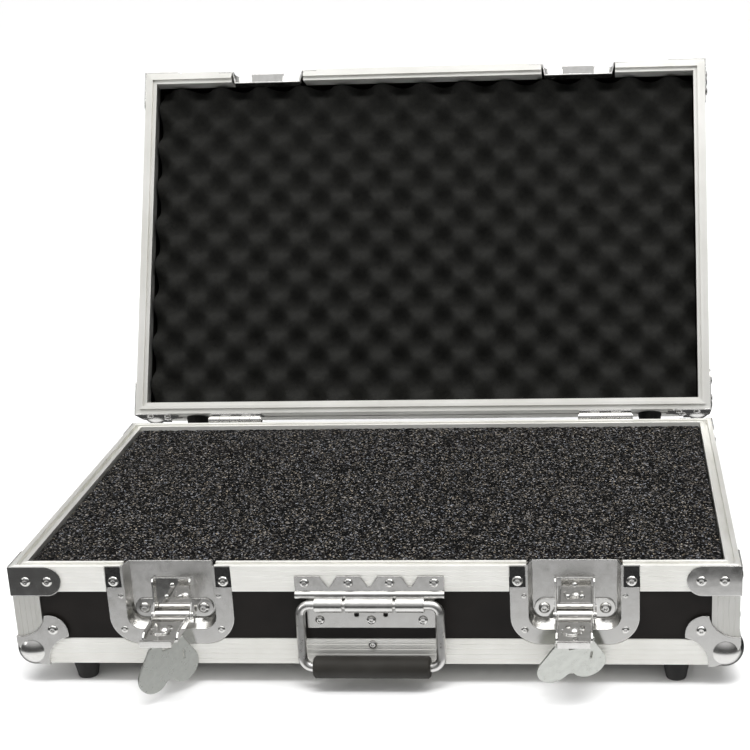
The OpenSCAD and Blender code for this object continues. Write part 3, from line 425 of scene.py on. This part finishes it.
# The base's foam block: a sawn top of torn cells, soft at its edges and lying a little unevenly
def makeFoamBlock():
    look = foamBlock
    low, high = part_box("base_foam")
    xs = np.linspace(low[0], high[0], int((high[0] - low[0]) / look["step"]))
    ys = np.linspace(low[1], high[1], int((high[1] - low[1]) / look["step"]))
    random = np.random.default_rng(look["seed"])
    torn = random.normal(0, look["roughness"], (len(ys), len(xs)))
    gx, gy = np.meshgrid(xs, ys)
    edge = np.minimum(np.minimum(gx - low[0], high[0] - gx), np.minimum(gy - low[1], high[1] - gy))
    inside = np.clip(1 - edge / look["edge"], 0, 1)
    waveX, waveY = look["sagWaves"]
    sag = look["dip"] * (0.5 + 0.5 * np.sin(gx * waveX + look["sagShift"]) * np.cos(gy * waveY))
    top = high[2] - look["edge"] * (1 - np.sqrt(1 - inside ** 2)) - sag - np.abs(torn)
    points, faces = fieldSlab(xs, ys, top, low[2])
    piece = meshObject("foam_block", points, faces, blockFoam, "base")
    shadeSmooth(piece, look["crease"])
    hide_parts("base_foam")


# Weld and flat clean the CAD mesh: points closer than weld join, faces within flat degrees merge
feltStrips = {
    "edge": 0.9 * mm, "edgeSteps": 2, "nap": 0.12 * mm, "weld": 0.01 * mm, "flat": 2,
    "seed": 5, "crease": 50}


# The felt strips behind the foam, with soft cut edges and an uneven nap
def makeLining():
    look = feltStrips
    work = bmesh.new()
    work.from_mesh(nodes["base_lining"].data)
    bmesh.ops.remove_doubles(work, verts=work.verts, dist=look["weld"])
    bmesh.ops.dissolve_limit(work, angle_limit=math.radians(look["flat"]), verts=work.verts,
                             edges=work.edges)
    bmesh.ops.bevel(work, geom=list(work.edges), offset=look["edge"], segments=look["edgeSteps"],
                    affect="EDGES", clamp_overlap=True)
    bmesh.ops.triangulate(work, faces=work.faces)
    random = np.random.default_rng(look["seed"])
    for vertex in work.verts:
        vertex.co -= vertex.normal * abs(random.normal(0, look["nap"]))
    points = [v.co.copy() for v in work.verts]
    work.verts.index_update()
    faces = [[v.index for v in f.verts] for f in work.faces]
    work.free()
    piece = meshObject("felt_strips", points, faces, felt, "base")
    shadeSmooth(piece, look["crease"])
    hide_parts("base_lining")


makeEggCrate()
makeFoamBlock()
makeLining()
print("foams made")


# Camera, floor and light

# Fitted to the case's corners in the photo. Angles are in degrees, lens and sensor in millimetres
cameraLook = {
    "place": (0.1928, -1.4485, 0.6223), "yaw": 4.822, "pitch": -19.294, "roll": -2.03,
    "lens": 76.29, "sensor": 36, "shiftX": -0.1386, "shiftY": 0.0966}


def makeCamera():
    look = cameraLook
    data = bpy.data.cameras.new("camera")
    data.lens, data.sensor_width = look["lens"], look["sensor"]
    data.shift_x, data.shift_y = look["shiftX"], look["shiftY"]
    camera = bpy.data.objects.new("camera", data)
    camera.location = look["place"]
    yaw = Matrix.Rotation(math.radians(look["yaw"]), 3, "Z")
    pitch = Matrix.Rotation(math.radians(90 + look["pitch"]), 3, "X")
    roll = Matrix.Rotation(math.radians(look["roll"]), 3, "Z")
    camera.rotation_mode = "QUATERNION"
    camera.rotation_quaternion = (yaw @ pitch @ roll).to_quaternion()
    bpy.context.scene.collection.objects.link(camera)
    bpy.context.scene.camera = camera


floorLook = {"white": "#f7f7f7", "roughness": 0.9, "radius": 14.0, "sides": 96}


# The floor is white to the eye and to soft light. Mirror rays pass it and meet the studio below
def makeFloor():
    look = floorLook
    turns = [2 * math.pi * k / look["sides"] for k in range(look["sides"])]
    points = [(look["radius"] * math.cos(t), look["radius"] * math.sin(t), 0) for t in turns]
    mesh = bpy.data.meshes.new("floor")
    mesh.from_pydata(points, [], [tuple(range(look["sides"]))])
    floor = bpy.data.objects.new("floor", mesh)
    bpy.context.scene.collection.objects.link(floor)
    paper = newMaterial("white studio floor", {
        "Base Color": linearColour(look["white"]), "Roughness": look["roughness"]})[0]
    mesh.materials.append(paper)
    floor.visible_glossy = False


# Places and sizes in metres, power in watts. A light that isn't mirrored only fills: the aluminium
# and the chrome don't show it
lights = {
    "key": {"place": (1.7, -0.9, 2.5), "aim": (0, 0, 0.2), "size": (0.8, 0.8), "power": 12},
    "front": {"place": (0.2, -1.3, 3.0), "aim": (0, -0.2, 0.05), "size": (1.6, 0.4), "power": 40,
              "mirrored": False},
    "top": {"place": (0.3, 0.4, 2.6), "aim": (0, 0, 0.1), "size": (1.8, 1.2), "power": 10},
    "side": {"place": (-2.2, -1.2, 1.3), "aim": (0, 0, 0.2), "size": (0.6, 1.6), "power": 8}}


def makeLight(name, place, aim, size, power, mirrored=True):
    data = bpy.data.lights.new(name, "AREA")
    data.shape, data.size, data.size_y, data.energy = "RECTANGLE", size[0], size[1], power
    light = bpy.data.objects.new(name, data)
    light.location = place
    light.rotation_mode = "QUATERNION"
    light.rotation_quaternion = (Vector(place) - Vector(aim)).to_track_quat("Z", "Y")
    light.visible_glossy = mirrored
    bpy.context.scene.collection.objects.link(light)


# Brightness of the studio by the sine of the height above the horizon: white paper below, a dark
# room around, and a bright ceiling, which gives the chrome its black and white
studio = [(-1.0, 1.1), (-0.45, 1.05), (-0.415, 0.8), (-0.408, 0.08), (-0.1, 0.06), (0.1, 0.1),
          (0.28, 0.28), (0.45, 0.45), (0.8, 0.75), (0.87, 2.4), (1.0, 2.5)]
# Behind the case the paper lies in its shadow: how much of its light is left, from where to where
# the shadow sets in along y, and how far below the horizon it takes to set in
shadowBehind = {"left": 0.06, "from": 0.1, "to": 0.45, "below": 0.05}


def makeWorld():
    look = shadowBehind
    world = bpy.data.worlds.new("studio")
    bpy.context.scene.world = world
    world.use_nodes = True
    world.cycles.sampling_method = "NONE"
    tree = world.node_tree
    tree.nodes.clear()
    direction = addNode(tree, "ShaderNodeTexCoord").outputs["Generated"]
    parts = addNode(tree, "ShaderNodeSeparateXYZ", {"Vector": direction}).outputs
    level = ramp(tree, parts["Z"], 0.0, 1.0, -1.0, 1.0)
    band = addNode(tree, "ShaderNodeValToRGB", {"Fac": level})
    while len(band.color_ramp.elements) < len(studio):
        band.color_ramp.elements.new(0.5)
    for element, (sine, brightness) in zip(band.color_ramp.elements, studio):
        element.position = (sine + 1) / 2
        element.color = (brightness, brightness, brightness, 1)
    below = ramp(tree, parts["Z"], 1.0, 0.0, -look["below"], 0.0)
    behind = ramp(tree, parts["Y"], 0.0, 1.0, look["from"], look["to"])
    shadow = addNode(tree, "ShaderNodeMath", {0: below, 1: behind}, operation="MULTIPLY").outputs[0]
    kept = ramp(tree, shadow, 1.0, look["left"], 0.0, 1.0)
    light = addNode(tree, "ShaderNodeVectorMath", {0: band.outputs[0], "Scale": kept},
                    operation="SCALE")
    back = addNode(tree, "ShaderNodeBackground", {"Color": light.outputs[0]})
    addNode(tree, "ShaderNodeOutputWorld", {"Surface": back.outputs[0]})


bpy.context.scene.view_settings.view_transform = "Standard"
makeCamera()
makeFloor()
makeWorld()
for name, look in lights.items():
    makeLight(name, **look)
print("studio set")
